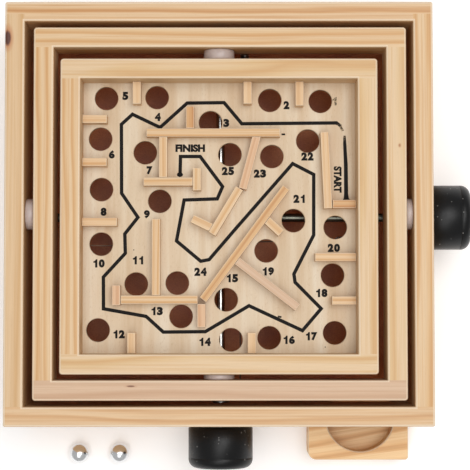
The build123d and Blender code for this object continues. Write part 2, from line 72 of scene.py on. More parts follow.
board_low, board_high = corners("maze_board")
board_mid = middle("maze_board")
play_z = board_high[2]
box_left = corners("box_wall_left")[0][0]
box_top = corners("box_wall_back")[1][2]


def on_board(x, y, lift=0.0):
    """A point in millimetres from the middle of the board, as a point in the frame."""
    return np.array([board_mid[0] + x * MM, board_mid[1] + y * MM, play_z + lift])


# ---------------------------------------- meshes
def piece(name, points, faces, material, body, smooth=True, corner_uv=None):
    """A mesh object at the origin from points (n, 3) and faces, riding on a body. corner_uv gives
    each face corner its place on the piece's own UV map."""
    mesh = bpy.data.meshes.new(name)
    mesh.from_pydata(np.asarray(points).tolist(), [], [list(map(int, f)) for f in faces])
    mesh.polygons.foreach_set("use_smooth", np.full(len(mesh.polygons), smooth))
    if corner_uv is not None:
        layer = mesh.uv_layers.new(name="surface")
        filled = np.zeros((len(mesh.loops), 2), np.float32)
        filled[: len(corner_uv)] = corner_uv
        layer.data.foreach_set("uv", filled.ravel())
    mesh.materials.append(material)
    mesh.update()
    made = bpy.data.objects.new(name, mesh)
    bpy.context.scene.collection.objects.link(made)
    if body:
        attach(made, body)
    return made


def grid_corners(rows, columns, wrap_rows=False):
    """The row and column of each corner of each quad on a grid whose columns are closed."""
    i, j = np.meshgrid(np.arange(rows if wrap_rows else rows - 1), np.arange(columns), indexing="ij")
    i, j = i.reshape(-1, 1), j.reshape(-1, 1)
    return i + np.array([[0, 1, 1, 0]]), j + np.array([[0, 0, 1, 1]])


def swept(path, side, profile):
    """A closed profile carried along a path. At each path point the profile's first coordinate
    lies along the side vector, made square to the path, and its second along the tangent
    crossed with that. The two ends are closed by the end rings. Returns the points, the faces
    and, for each corner of the quads, its share of the way round and its length along."""
    path = np.asarray(path, float)
    tangent = np.gradient(path, axis=0)
    tangent /= np.linalg.norm(tangent, axis=1)[:, None]
    side = np.broadcast_to(np.asarray(side, float), path.shape)
    side = side - (side * tangent).sum(1)[:, None] * tangent
    side = side / np.linalg.norm(side, axis=1)[:, None]
    up = np.cross(tangent, side)
    ring_side, ring_up = profile[None, :, :1], profile[None, :, 1:]
    points = path[:, None, :] + ring_side * side[:, None, :] + ring_up * up[:, None, :]
    rows, columns = points.shape[:2]
    i, j = grid_corners(rows, columns)
    quads = (i * columns + j % columns)[:, ::-1]
    along = np.concatenate([[0], np.cumsum(np.linalg.norm(np.diff(path, axis=0), axis=1))])
    corner_uv = np.stack([j / columns, along[i] / MM], -1)[:, ::-1].reshape(-1, 2)
    ends = [np.arange(columns)[::-1], (rows - 1) * columns + np.arange(columns)]
    return points.reshape(-1, 3), [*quads, *ends], corner_uv


def round_profile(radius, sides=10):
    """A circle as a profile: the radius times the cosine and sine of a full turn."""
    turn = np.linspace(0, 2 * math.pi, sides, endpoint=False)
    return radius * np.stack([np.cos(turn), np.sin(turn)], 1)


def lathe(profile, centre, axis, sides=128):
    """A closed profile of (distance along the axis, radius) turned about the axis. A point is
    the centre, plus the distance times the axis, plus the radius times a unit vector that
    turns once round the axis."""
    axis = np.asarray(axis, float)
    first = np.cross(axis, [0, 0, 1] if abs(axis[2]) < 0.9 else [1, 0, 0])
    first /= np.linalg.norm(first)
    second = np.cross(axis, first)
    turn = np.linspace(0, 2 * math.pi, sides, endpoint=False)
    around = np.cos(turn)[:, None] * first + np.sin(turn)[:, None] * second
    profile = np.asarray(profile, float)
    points = np.asarray(centre) + profile[:, None, :1] * axis + profile[:, None, 1:] * around[None]
    i, j = grid_corners(len(profile), sides, wrap_rows=True)
    return points.reshape(-1, 3), (i % len(profile)) * sides + j % sides


def arc(centre, radius, start, end, steps):
    """Points on an arc in a lathe profile, from one angle in degrees to another: the centre,
    plus the radius times the angle's sine along the axis and its cosine outwards."""
    turn = np.radians(np.linspace(start, end, steps + 1))
    return np.asarray(centre) + radius * np.stack([np.sin(turn), np.cos(turn)], 1)


def joined(parts):
    """The points and faces of several shapes as one: each shape's faces are counted on from the
    points before it."""
    points, faces, count = [], [], 0
    for part_points, part_faces in parts:
        points.append(part_points)
        faces += [np.asarray(face) + count for face in part_faces]
        count += len(part_points)
    return np.concatenate(points), faces


# ---------------------------------------- nodes and colours
def linear(code):
    """An sRGB hex colour as linear red, green, blue and alpha."""
    values = [int(code[i : i + 2], 16) / 255 for i in (1, 3, 5)]
    return (*[v / 12.92 if v <= 0.04045 else ((v + 0.055) / 1.055) ** 2.4 for v in values], 1.0)


def add(tree, kind, inputs=(), stops=(), **settings):
    """Adds one shader node. Settings are its properties, inputs its sockets by name or index, each
    given a value or another node's output. Stops are a colour ramp's (place, colour) pairs."""
    made = tree.nodes.new("ShaderNode" + kind)
    for key, value in settings.items():
        setattr(made, key, value)
    for key, value in dict(inputs).items():
        if isinstance(value, bpy.types.NodeSocket):
            tree.links.new(value, made.inputs[key])
        else:
            made.inputs[key].default_value = value
    for count, (place, colour) in enumerate(stops):
        elements = made.color_ramp.elements
        element = elements[count] if count < 2 else elements.new(place)
        element.position = place
        element.color = linear(colour)
    return made


def new_material(name):
    """A material with its node tree, its surface shader and its object coordinates."""
    material = bpy.data.materials.new(name)
    material.use_nodes = True
    tree = material.node_tree
    shader = tree.nodes["Principled BSDF"]
    where = add(tree, "TexCoord")
    return material, tree, shader, where


# ---------------------------------------- wood
def wood(name, turn, pith, ring, tones, seed, wander=2.8, fibre=0.06, knots=(), rough=0.46):
    """Planed softwood, matt lacquered: long soft streaks where the saw crossed the growth rings.
    The rings are circles round a pith line that runs along the grain; their late wood is a dark
    band with a sharp outer edge. turn is the grain's direction from +X in degrees, or two of
    them for the pieces at the sides and at the back and front. pith is the pith line's place
    across the grain, ring the ring width and wander a quarter of the rings' bend, in
    millimetres. tones are the early, middle and late wood, and fibre the fibres' contrast."""
    material, tree, shader, where = new_material(name)
    early, mid, late = tones
    turns = turn if isinstance(turn, tuple) else (turn,)
    places = [
        add(tree, "Mapping", {
            0: where.outputs["Object"], "Scale": (1 / MM, 1 / MM, 1 / MM),
            "Rotation": (0, 0, -math.radians(degrees)), "Location": (seed * 137.0, -pith[0], -pith[1]),
        }).outputs[0]
        for degrees in turns
    ]
    place = places[0]
    if len(places) == 2:
        # pieces at the sides of the board lie along X, and those at its back and front along Y
        size = add(tree, "VectorMath", {0: where.outputs["Object"]}, operation="ABSOLUTE")
        parts = add(tree, "SeparateXYZ", {0: size.outputs[0]})
        along_y = add(tree, "Math", {
            0: parts.outputs["Y"], 1: parts.outputs["X"],
        }, operation="GREATER_THAN")
        place = add(tree, "Mix", {
            0: along_y.outputs[0], 4: places[0], 5: places[1],
        }, data_type="VECTOR").outputs[1]
    # slow bends of the rings, longer along the grain than across it
    slow = add(tree, "VectorMath", {0: place, 1: (1 / 150, 1 / 24, 1 / 24)}, operation="MULTIPLY")
    bend = add(tree, "TexNoise", {
        "Vector": slow.outputs[0], "Scale": 1.0, "Detail": 2.5, "Roughness": 0.45,
    })
    across = add(tree, "VectorMath", {0: place, 1: (0, 1, 1)}, operation="MULTIPLY")
    radius = add(tree, "VectorMath", {0: across.outputs[0]}, operation="LENGTH")
    bent = add(tree, "Math", {
        0: bend.outputs["Fac"], 1: wander * 4, 2: radius.outputs["Value"],
    }, operation="MULTIPLY_ADD")
    phase = add(tree, "Math", {0: bent.outputs[0], 1: 1 / ring}, operation="MULTIPLY")
    share = add(tree, "Math", {0: phase.outputs[0]}, operation="FRACT")
    rings = add(tree, "ValToRGB", {0: share.outputs[0]}, stops=[
        (0.0, early), (1.0, early), (0.34, early), (0.58, mid), (0.80, late), (0.92, mid),
    ])
    # each year's ring is a little darker or paler than the next
    year = add(tree, "Math", {0: phase.outputs[0]}, operation="FLOOR")
    yearly = add(tree, "TexWhiteNoise", {"W": year.outputs[0]}, noise_dimensions="1D")
    strength = add(tree, "MapRange", {0: yearly.outputs["Value"], 3: 0.3, 4: 1.0})
    ringed = add(tree, "Mix", {
        0: strength.outputs[0], 6: linear(early), 7: rings.outputs[0],
    }, data_type="RGBA")
    # fibres about 0.3 mm thick and 12 mm long
    fine = add(tree, "VectorMath", {0: place, 1: (1 / 12, 1 / 0.32, 1 / 0.32)}, operation="MULTIPLY")
    fibres = add(tree, "TexNoise", {
        "Vector": fine.outputs[0], "Scale": 1.0, "Detail": 3.0, "Roughness": 0.6,
    })
    light = add(tree, "MapRange", {
        0: fibres.outputs["Fac"], 1: 0.25, 2: 0.75, 3: 1 - fibre, 4: 1 + fibre,
    })
    streaked = add(tree, "VectorMath", {0: ringed.outputs[2], 3: light.outputs[0]}, operation="SCALE")
    # thin golden streaks about 1 mm wide that run most of the length of a board
    long = add(tree, "VectorMath", {0: place, 1: (1 / 120, 1 / 1.3, 1 / 3.0)}, operation="MULTIPLY")
    threads = add(tree, "TexNoise", {
        "Vector": long.outputs[0], "Scale": 1.0, "Detail": 3.0, "Roughness": 0.7, "Distortion": 0.15,
    })
    thread = add(tree, "MapRange", {0: threads.outputs["Fac"], 1: 0.48, 2: 0.72, 3: 0.0, 4: 0.62})
    streaked = add(tree, "Mix", {
        0: thread.outputs[0], 6: streaked.outputs[0], 7: linear(late),
    }, data_type="RGBA")
    # short dark resin canals, about 5 mm long and half a millimetre apart
    canals_at = add(tree, "VectorMath", {
        0: place, 1: (1 / 5.0, 1 / 0.45, 1 / 0.45),
    }, operation="MULTIPLY")
    canals = add(tree, "TexVoronoi", {"Vector": canals_at.outputs[0], "Scale": 1.0})
    canal = add(tree, "MapRange", {
        0: canals.outputs["Distance"], 1: 0.0, 2: 0.14, 3: 0.35, 4: 0.0,
    })
    colour = add(tree, "Mix", {
        0: canal.outputs[0], 6: streaked.outputs[2], 7: linear("#8F5F34"),
    }, data_type="RGBA").outputs[2]
    # painted highlight: eased edges that face half upwards are mixed towards a pale colour where the
    # light catches them; they are also sanded a little paler
    facing = add(tree, "SeparateXYZ", {0: where.outputs["Normal"]})
    eased = add(tree, "MapRange", {0: facing.outputs["Z"], 1: 0.35, 2: 0.65, 3: 0.0, 4: 1.0})
    flat = add(tree, "MapRange", {0: facing.outputs["Z"], 1: 0.93, 2: 0.995, 3: 0.75, 4: 0.0})
    edge_highlight_and_sanding = add(tree, "Math", {0: eased.outputs[0], 1: flat.outputs[0]}, operation="MULTIPLY")
    colour = add(tree, "Mix", {
        0: edge_highlight_and_sanding.outputs[0], 6: colour, 7: linear(EDGE_HIGHLIGHT_AND_SANDING),
    }, data_type="RGBA").outputs[2]
    for centre, reach, heart, halo in knots:
        # an oval where a branch was: a dark heart inside a redder halo that fades into the board
        off = add(tree, "VectorMath", {
            0: where.outputs["Object"], 1: tuple(centre),
        }, operation="SUBTRACT")
        scaled = add(tree, "VectorMath", {
            0: off.outputs[0], 1: tuple(1 / (r * MM) for r in reach),
        }, operation="MULTIPLY")
        away = add(tree, "VectorMath", {0: scaled.outputs[0]}, operation="LENGTH")
        rough_edge = add(tree, "Math", {
            0: fibres.outputs["Fac"], 1: 0.7, 2: away.outputs["Value"],
        }, operation="MULTIPLY_ADD")
        for tone, start, end, share_of in ((halo, 1.15, 2.1, 0.75), (heart, 1.0, 1.32, 0.95)):
            inside = add(tree, "MapRange", {
                0: rough_edge.outputs[0], 1: start, 2: end, 3: share_of, 4: 0.0,
            })
            colour = add(tree, "Mix", {
                0: inside.outputs[0], 6: colour, 7: linear(tone),
            }, data_type="RGBA").outputs[2]
    tree.links.new(colour, shader.inputs["Base Color"])
    sheen = add(tree, "MapRange", {0: fibres.outputs["Fac"], 3: rough - 0.06, 4: rough + 0.1})
    tree.links.new(sheen.outputs[0], shader.inputs["Roughness"])
    height = add(tree, "Math", {
        0: share.outputs[0], 1: 0.6, 2: fibres.outputs["Fac"],
    }, operation="MULTIPLY_ADD")
    bump = add(tree, "Bump", {
        "Height": height.outputs[0], "Strength": 0.25, "Distance": 0.06 * MM,
    })
    tree.links.new(bump.outputs[0], shader.inputs["Normal"])
    shader.inputs["IOR"].default_value = 1.5
    return material


# the pale colour of the painted highlight on the upward-facing eased edges, which are also sanded paler
EDGE_HIGHLIGHT_AND_SANDING = "#EBD7BC"
# Pine tones: cream early wood, golden to orange late wood, from straw to a pinkish board
STRAW = ("#D6B68D", "#CDA26C", "#BF8747")
HONEY = ("#D5B38A", "#CA9B65", "#B67C40")
PALE = ("#D3B289", "#CBA679", "#C2965F")
CREAM = ("#D6B891", "#CFAC7A", "#C39459")
PINKISH = ("#CDAC8D", "#C5A07F", "#B88F6C")
BASSWOOD = ("#D9B78D", "#D0A776", "#C4925A")
AMBER = ("#D0A673", "#C49057", "#AF7238")
ROSY = ("#D5AE88", "#C99B72", "#BA8458")
# the tray's pine is toned paler than the other boards: painted light, standing in for the light that
# falls on the tray
TRAY_PAINTED_LIGHT = ("#F0CB98", "#E0AD70", "#C58A48")


def finish_node(name, material):
    """Gives a CAD node its material."""
    nodes[name].data.materials.clear()
    nodes[name].data.materials.append(material)


def grain_turn(name):
    """The direction of a strip's longest spread, in degrees from +X."""
    co = np.empty(len(nodes[name].data.vertices) * 3, np.float32)
    nodes[name].data.vertices.foreach_get("co", co)
    flat = co.reshape(-1, 3)[:, :2]
    flat = flat - flat.mean(0)
    way = np.linalg.svd(flat, full_matrices=False)[2][0]
    return math.degrees(math.atan2(way[1], way[0]))


# ---------------------------------------- box, frames and tray
# A knot is its middle, its reach along X, Y and Z in millimetres, and its heart and halo tones
KNOT = (
    np.array([box_left + 1.4 * MM, 88.5 * MM, box_top - 1 * MM]),
    (2.0, 4.6, 6.5), "#4A2014", "#B0693C",
)
front_rail, right_rail = middle("gimbal_rail_front"), middle("gimbal_rail_right")
rail_top = corners("gimbal_rail_front")[1][2]
BARK_MARK = (
    np.array([front_rail[0] - 44.5 * MM, front_rail[1] + 2.2 * MM, rail_top]),
    (2.2, 0.5, 2.0), "#7A5038", "#B98E6C",
)
PIN_KNOT = (
    np.array([right_rail[0] + 1.5 * MM, 34 * MM, rail_top]),
    (0.6, 0.9, 4.0), "#A67248", "#BF9262",
)
# Each board: its side, grain direction, pith, ring width, tones, seed and knots
for side, turn, pith, ring, tones, seed, knots in (
    ("front", 0, (-150.0, 62.0), 4.6, HONEY, 1, ()),
    ("back", 0, (150.0, 60.0), 5.2, HONEY, 2, ()),
    ("left", 90, (165.0, 50.0), 8.5, PALE, 3, (KNOT,)),
    ("right", 90, (-60.0, 52.0), 6.5, STRAW, 4, ()),
):
    made = wood("pine_planed_box_" + side, turn, pith, ring, tones, seed, knots=knots)
    finish_node("box_wall_" + side, made)
for side, turn, pith, ring, tones, seed, knots in (
    ("front", 0, (-140.0, 30.0), 9.0, PINKISH, 5, (BARK_MARK,)),
    ("back", 0, (120.0, 60.0), 4.8, STRAW, 6, ()),
    ("left", 90, (60.0, 62.0), 3.6, STRAW, 7, ()),
    ("right", 90, (-70.0, 40.0), 4.8, CREAM, 8, (PIN_KNOT,)),
):
    made = wood("pine_planed_gimbal_" + side, turn, pith, ring, tones, seed, knots=knots)
    finish_node("gimbal_rail_" + side, made)
for side, turn, pith, ring, tones, seed in (
    ("front", 0, (-96.0, 42.0), 5.2, CREAM, 9),
    ("back", 0, (64.0, 40.0), 4.6, CREAM, 10),
    ("left", 90, (50.0, 58.0), 3.8, STRAW, 11),
    ("right", 90, (-84.0, 52.0), 4.8, CREAM, 12),
):
    finish_node("board_rail_" + side, wood("pine_planed_board_" + side, turn, pith, ring, tones, seed))
# the tray's wood carries painted light: its tones are paler than its pine would be
finish_node("ball_tray", wood("pine_planed_tray", 8, (-60.0, 2.0), 8.5, TRAY_PAINTED_LIGHT, 13, wander=5.0))
# sawn and left rough: duller, with stronger fibres
finish_node("ramp_cleats", wood(
    "pine_sawn_cleats", 0, (-60.0, 30.0), 5.0, PALE, 14, fibre=0.12, rough=0.7))
finish_node("outlet_guide_block", wood(
    "pine_sawn_guide", 70, (-30.0, 12.0), 5.0, PALE, 15, fibre=0.12, rough=0.7))

# ---------------------------------------- maze strips
finish_node("edge_stub_strips", wood(
    "basswood_sawn_stubs", (0, 90), (-9.0, 41.0), 2.8, BASSWOOD, 16, wander=1.0, fibre=0.08))
STRIP_TONES = {
    "strip_left_rail": BASSWOOD, "strip_right_rail": BASSWOOD, "strip_start": AMBER,
    "strip_back_long": STRAW, "strip_back_short": AMBER, "strip_finish_right": STRAW,
    "strip_finish_front": STRAW, "strip_finish_left": BASSWOOD, "strip_start_side": BASSWOOD,
    "strip_middle_upper": ROSY, "strip_middle_lower": BASSWOOD, "strip_middle_spur": BASSWOOD,
    "strip_front_long": STRAW, "strip_diagonal": AMBER, "strip_diagonal_stub": BASSWOOD,
    "strip_diagonal_spur": PINKISH, "strip_left_tall": BASSWOOD, "strip_front_left": ROSY,
    "strip_front_right": ROSY,
}
for count, (name, tones) in enumerate(STRIP_TONES.items()):
    # each strip was cut from another place in the plank, so its rings start and space differently
    pith = (-14.0 - 5 * (count % 3), 50.0 + 7 * (count % 5))
    ring, seed = 2.4 + 0.4 * (count % 4), 20 + count
    finish_node(name, wood(
        "basswood_sawn_" + name, grain_turn(name), pith, ring, tones, seed, wander=1.0, fibre=0.08))


# ---------------------------------------- maze board
def birch_plywood():
    """Sanded birch plywood: a pale rotary-cut face with soft bands along Y and short dark
    flecks, and three plies in the edges of the holes."""
    material, tree, shader, where = new_material("birch_plywood_sanded")
    place = add(tree, "Mapping", {
        0: where.outputs["Object"], "Scale": (1 / MM, 1 / MM, 1 / MM),
    }).outputs[0]
    wide = add(tree, "VectorMath", {0: place, 1: (1 / 9, 1 / 150, 1 / 9)}, operation="MULTIPLY")
    bands = add(tree, "TexNoise", {
        "Vector": wide.outputs[0], "Scale": 1.0, "Detail": 4.0, "Roughness": 0.62,
    })
    face = add(tree, "ValToRGB", {0: bands.outputs["Fac"]}, stops=[
        (0.34, "#C7AC8A"), (0.66, "#DACAB2"), (0.5, "#D2BC9E"),
    ])
    # flecks of the wood's rays and pores, about 0.35 mm by 1.6 mm
    small = add(tree, "VectorMath", {0: place, 1: (1 / 0.35, 1 / 1.6, 1 / 0.35)}, operation="MULTIPLY")
    flecks = add(tree, "TexNoise", {"Vector": small.outputs[0], "Scale": 1.0, "Detail": 2.0})
    fleck = add(tree, "MapRange", {0: flecks.outputs["Fac"], 1: 0.60, 2: 0.74, 3: 0.0, 4: 0.42})
    flecked = add(tree, "Mix", {
        0: fleck.outputs[0], 6: face.outputs[0], 7: linear("#B08E66"),
    }, data_type="RGBA")
    # plies about 1.2 mm thick, seen in the walls of the holes
    height = add(tree, "SeparateXYZ", {0: where.outputs["Object"]})
    level = add(tree, "MapRange", {0: height.outputs["Z"], 1: board_low[2], 2: board_high[2]})
    plies = add(tree, "ValToRGB", {0: level.outputs[0]}, stops=[
        (0.0, "#C2A379"), (0.66, "#D0B893"), (0.32, "#845F3B"), (0.35, "#A98558"), (0.63, "#845F3B"),
    ])
    facing = add(tree, "SeparateXYZ", {0: where.outputs["Normal"]})
    upward = add(tree, "Math", {0: facing.outputs["Z"]}, operation="ABSOLUTE")
    is_face = add(tree, "Math", {0: upward.outputs[0], 1: 0.5}, operation="GREATER_THAN")
    colour = add(tree, "Mix", {
        0: is_face.outputs[0], 6: plies.outputs[0], 7: flecked.outputs[2],
    }, data_type="RGBA")
    tree.links.new(colour.outputs[2], shader.inputs["Base Color"])
    shader.inputs["Roughness"].default_value = 0.52
    bump = add(tree, "Bump", {
        "Height": flecks.outputs["Fac"], "Strength": 0.2, "Distance": 0.04 * MM,
    })
    tree.links.new(bump.outputs[0], shader.inputs["Normal"])
    return material


finish_node("maze_board", birch_plywood())


def hardboard():
    """Tempered hardboard: red-brown pressed fibre, smooth on top, with cloudy patches and
    lighter fibre bundles. Little light reaches it through the holes, so it is toned brighter
    than such a board is in the open."""
    material, tree, shader, where = new_material("hardboard_pressed")
    clouds = add(tree, "TexNoise", {
        "Vector": where.outputs["Object"], "Scale": 1 / (14 * MM), "Detail": 3.0,
    })
    fibres = add(tree, "TexNoise", {
        "Vector": where.outputs["Object"], "Scale": 1 / (0.6 * MM), "Detail": 4.0, "Distortion": 1.2,
    })
    mixed = add(tree, "Math", {
        0: clouds.outputs["Fac"], 1: fibres.outputs["Fac"],
    }, operation="MULTIPLY")
    colour = add(tree, "ValToRGB", {0: mixed.outputs[0]}, stops=[
        (0.12, "#C4622C"), (0.42, "#E68A46"), (0.26, "#D67636"),
    ])
    tree.links.new(colour.outputs[0], shader.inputs["Base Color"])
    shader.inputs["Roughness"].default_value = 0.42
    bump = add(tree, "Bump", {
        "Height": fibres.outputs["Fac"], "Strength": 0.3, "Distance": 0.05 * MM,
    })
    tree.links.new(bump.outputs[0], shader.inputs["Normal"])
    return material


finish_node("ball_ramp", hardboard())


# ---------------------------------------- metals, nylon and black plastic
def steel(name, tone, roughness, lines_along=None, grain=0.05):
    """Bare steel. Drawn wire and rod have fine lines along their length, 20 mm long, which
    stretch the highlight; a polished ball has only faint hairlines. tone is a pair of colours
    that the steel drifts between, and grain the width of its marks in millimetres."""
    material, tree, shader, where = new_material(name)
    shader.inputs["Metallic"].default_value = 1.0
    stretch = [1 / (grain * MM)] * 3
    if lines_along is not None:
        stretch["xyz".index(lines_along)] = 1 / (20 * MM)
    place = add(tree, "VectorMath", {
        0: where.outputs["Object"], 1: stretch,
    }, operation="MULTIPLY")
    marks = add(tree, "TexNoise", {"Vector": place.outputs[0], "Scale": 1.0, "Detail": 3.0})
    stains = add(tree, "TexNoise", {
        "Vector": where.outputs["Object"], "Scale": 1 / (5 * MM), "Detail": 2.0,
    })
    worn = add(tree, "Mix", {
        0: stains.outputs["Fac"], 6: linear(tone[0]), 7: linear(tone[1]),
    }, data_type="RGBA")
    tree.links.new(worn.outputs[2], shader.inputs["Base Color"])
    rough = add(tree, "MapRange", {
        0: marks.outputs["Fac"], 3: roughness * 0.7, 4: roughness * 1.4,
    })
    tree.links.new(rough.outputs[0], shader.inputs["Roughness"])
    bump = add(tree, "Bump", {
        "Height": marks.outputs["Fac"], "Strength": 0.12, "Distance": 0.01 * MM,
    })
    tree.links.new(bump.outputs[0], shader.inputs["Normal"])
    return material


# the X shaft is the same drawn steel as the Y shaft, toned darker and greener as painted shade for the
# shade under the board
rod_x_painted_shade = steel("steel_drawn_rod_x", ("#7C7C70", "#5E5D54"), 0.34, "x")
rod_y = steel("steel_drawn_rod_y", ("#C9C9C6", "#B0AFAB"), 0.22, "y")
nail_steel = steel("steel_bright_nail", ("#9C9B98", "#7F7D79"), 0.34, "z")
spring_steel = steel("steel_spring_wire", ("#8E8D8B", "#6F6D6A"), 0.32)
ball_steel = steel("steel_polished_ball", ("#EFF0F1", "#E6E7E8"), 0.2, grain=0.4)
for name in (
    "box_corner_brads", "gimbal_pivot_pins", "board_pivot_pins", "gimbal_cord_pins", "board_cord_pins",
):
    finish_node(name, nail_steel)
for name in ("right_shaft_retainer", "front_shaft_retainer"):
    finish_node(name, spring_steel)
finish_node("right_shaft", rod_x_painted_shade)
finish_node("front_shaft", rod_y)


def nylon():
    """Natural nylon, turned: milky white, with light passing a little way in and faint
    turning marks."""
    material, tree, shader, where = new_material("nylon_natural_turned")
    cloud = add(tree, "TexNoise", {
        "Vector": where.outputs["Object"], "Scale": 1 / (3 * MM), "Detail": 2.0,
    })
    colour = add(tree, "Mix", {
        0: cloud.outputs["Fac"], 6: linear("#AF9D97"), 7: linear("#C4B6AF"),
    }, data_type="RGBA")
    tree.links.new(colour.outputs[2], shader.inputs["Base Color"])
    shader.inputs["Roughness"].default_value = 0.38
    shader.inputs["IOR"].default_value = 1.53
    shader.inputs["Subsurface Weight"].default_value = 0.35
    shader.inputs["Subsurface Radius"].default_value = (1.5 * MM, 1.2 * MM, 1.0 * MM)
    shader.inputs["Subsurface Scale"].default_value = 1.0
    marks = add(tree, "TexNoise", {
        "Vector": where.outputs["Object"], "Scale": 1 / (0.3 * MM), "Detail": 2.0,
    })
    bump = add(tree, "Bump", {
        "Height": marks.outputs["Fac"], "Strength": 0.15, "Distance": 0.03 * MM,
    })
    tree.links.new(bump.outputs[0], shader.inputs["Normal"])
    return material


def black_plastic():
    """Black ABS, moulded with a fine satin texture: soft broad highlights with tiny pale
    specks of dust and light handling marks."""
    material, tree, shader, where = new_material("abs_black_satin")
    grain = add(tree, "TexNoise", {
        "Vector": where.outputs["Object"], "Scale": 1 / (0.5 * MM), "Detail": 3.0,
    })
    # a speck about every 1.9 mm at most, and only where the cell's own number is high
    dust = add(tree, "TexVoronoi", {"Vector": where.outputs["Object"], "Scale": 1 / (1.9 * MM)})
    sizes = add(tree, "SeparateColor", {0: dust.outputs["Color"]})
    reach = add(tree, "MapRange", {0: sizes.outputs[0], 1: 0.55, 2: 1.0, 3: 0.0, 4: 0.22})
    speck = add(tree, "Math", {
        0: dust.outputs["Distance"], 1: reach.outputs[0],
    }, operation="LESS_THAN")
    amount = add(tree, "Math", {0: speck.outputs[0], 1: 0.6}, operation="MULTIPLY")
    colour = add(tree, "Mix", {
        0: amount.outputs[0], 6: linear("#0D0D0E"), 7: linear("#8C8C8A"),
    }, data_type="RGBA")
    tree.links.new(colour.outputs[2], shader.inputs["Base Color"])
    rough = add(tree, "MapRange", {0: grain.outputs["Fac"], 3: 0.24, 4: 0.46})
    tree.links.new(rough.outputs[0], shader.inputs["Roughness"])
    shader.inputs["IOR"].default_value = 1.5
    shader.inputs["Specular IOR Level"].default_value = 0.26
    bump = add(tree, "Bump", {
        "Height": grain.outputs["Fac"], "Strength": 0.5, "Distance": 0.12 * MM,
    })
    tree.links.new(bump.outputs[0], shader.inputs["Normal"])
    return material


nylon_white = nylon()
knob_black = black_plastic()


# ---------------------------------------- turned pieces
def turned_knob(name, axis, body):
    """A knob from its base to its slightly domed end: a chamfered foot, a straight barrel, a fine
    parting groove, a rounded rim and a face that rises to its middle."""
    low, high = corners(name)
    axis = np.asarray(axis, float)
    length = abs((high - low) @ axis)
    radius = (high - low)[2] / 2
    base = np.where(axis > 0, low, np.where(axis < 0, high, (low + high) / 2))
    bore, deep = 2.28 * MM, 16 * MM                       # the hole that takes the shaft
    foot, rim, dome = 0.9 * MM, 4.6 * MM, 0.5 * MM        # chamfer, rounding and rise of the end face
    groove, groove_half, to_rim = 0.12 * MM, 0.15 * MM, 0.85 * MM
    rim_start = length - dome - rim
    line = rim_start - to_rim
    face = radius - rim
    across = np.linspace(face, 0.5 * MM, 9)[1:]
    outline = np.concatenate([
        [(0.0, bore), (0.0, radius - foot), (foot, radius)],
        [(line - groove_half, radius), (line, radius - groove), (line + groove_half, radius)],
        arc((rim_start, radius - rim), rim, 0, 90, 14),
        np.stack([length - dome + dome * (1 - (across / face) ** 2), across], 1),
        [(length, 0.0), (deep, 0.0), (deep, bore)],
    ])
    points, faces = lathe(outline, base, axis)
    made = piece("knob_turned_" + body.split("_")[0], points, faces, knob_black, body)
    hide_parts(name)


turned_knob("right_knob", (1, 0, 0), "right_knob_shaft")
turned_knob("front_knob", (0, -1, 0), "front_knob_shaft")


def polished_ball(name, body):
    """A sphere: along its axis a point is minus the radius times the cosine of the tilt from the
    lower pole, and out from it the radius times the sine. A tube of 1 micron joins the poles."""
    low, high = corners(name)
    radius = (high - low)[2] / 2
    tilt = np.linspace(0, math.pi, 65)
    outline = radius * np.stack([-np.cos(tilt), np.sin(tilt)], 1)
    outline[[0, -1], 1] = 0.001 * MM
    points, faces = lathe(outline, (low + high) / 2, (0, 0, 1), 96)
    made = piece(name.replace("steel", "polished"), points, faces, ball_steel, body)
    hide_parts(name)


polished_ball("steel_ball_left", "ball_left")
polished_ball("steel_ball_right", "ball_right")


def pivot_washers(name, along, body):
    """Two turned discs with eased rims round a pivot pin, where the CAD discs are: each is a
    six-sided section turned once about the pin."""
    low, high = corners(name)
    axis = np.eye(3)[along]
    radius, bore, ease = (high - low)[2] / 2, 1.53 * MM, 0.35 * MM
    mesh = nodes[name].data
    co = np.empty(len(mesh.vertices) * 3, np.float32)
    mesh.vertices.foreach_get("co", co)
    place = co.reshape(-1, 3)[:, along]
    split = (low + high)[along] / 2
    discs = []
    for side in (place[place < split], place[place > split]):
        start, end = side.min(), side.max()
        centre = (low + high) / 2
        centre[along] = start
        width = end - start
        outline = [
            (0, bore), (0, radius - ease), (ease, radius),
            (width - ease, radius), (width, radius - ease), (width, bore),
        ]
        discs.append(lathe(outline, centre, axis, 72))
    made = piece(name + "_turned", *joined(discs), nylon_white, body)
    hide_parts(name)


pivot_washers("gimbal_pivot_spacers", 0, "box")
pivot_washers("board_pivot_spacers", 1, "gimbal")


# ---------------------------------------- drive cords and springs
def braided_cord():
    """Braided waxed linen cord: brown, with crossing strands whose crests are painted lighter, a painted
    highlight, and the gaps between them painted darker, a painted shade. Eight strands cross round it,
    four each way, and each crossing repeats every 1.1 mm along it."""
    material, tree, shader, where = new_material("linen_braided_waxed_cord")
    along = add(tree, "SeparateXYZ", {0: where.outputs["UV"]})
    waves = []
    for way in (1, -1):
        turned = add(tree, "Math", {
            0: along.outputs["X"], 1: 4 * 2 * math.pi * way,
        }, operation="MULTIPLY")
        phase = add(tree, "Math", {
            0: along.outputs["Y"], 1: 2 * math.pi / 1.1, 2: turned.outputs[0],
        }, operation="MULTIPLY_ADD")
        waves.append(add(tree, "Math", {0: phase.outputs[0]}, operation="SINE").outputs[0])
    braid = add(tree, "Math", {0: waves[0], 1: waves[1]}, operation="MAXIMUM")
    # painted highlight on the strands' crests and painted shade in the gaps between them
    colour = add(tree, "ValToRGB", {0: braid.outputs[0]}, stops=[
        (0.0, "#4A2F1E"), (1.0, "#8A6444"), (0.5, "#6B4A30"),
    ])
    tree.links.new(colour.outputs[0], shader.inputs["Base Color"])
    shader.inputs["Roughness"].default_value = 0.75
    shader.inputs["Sheen Weight"].default_value = 0.2
    bump = add(tree, "Bump", {
        "Height": braid.outputs[0], "Strength": 0.6, "Distance": 0.08 * MM,
    })
    tree.links.new(bump.outputs[0], shader.inputs["Normal"])
    return material


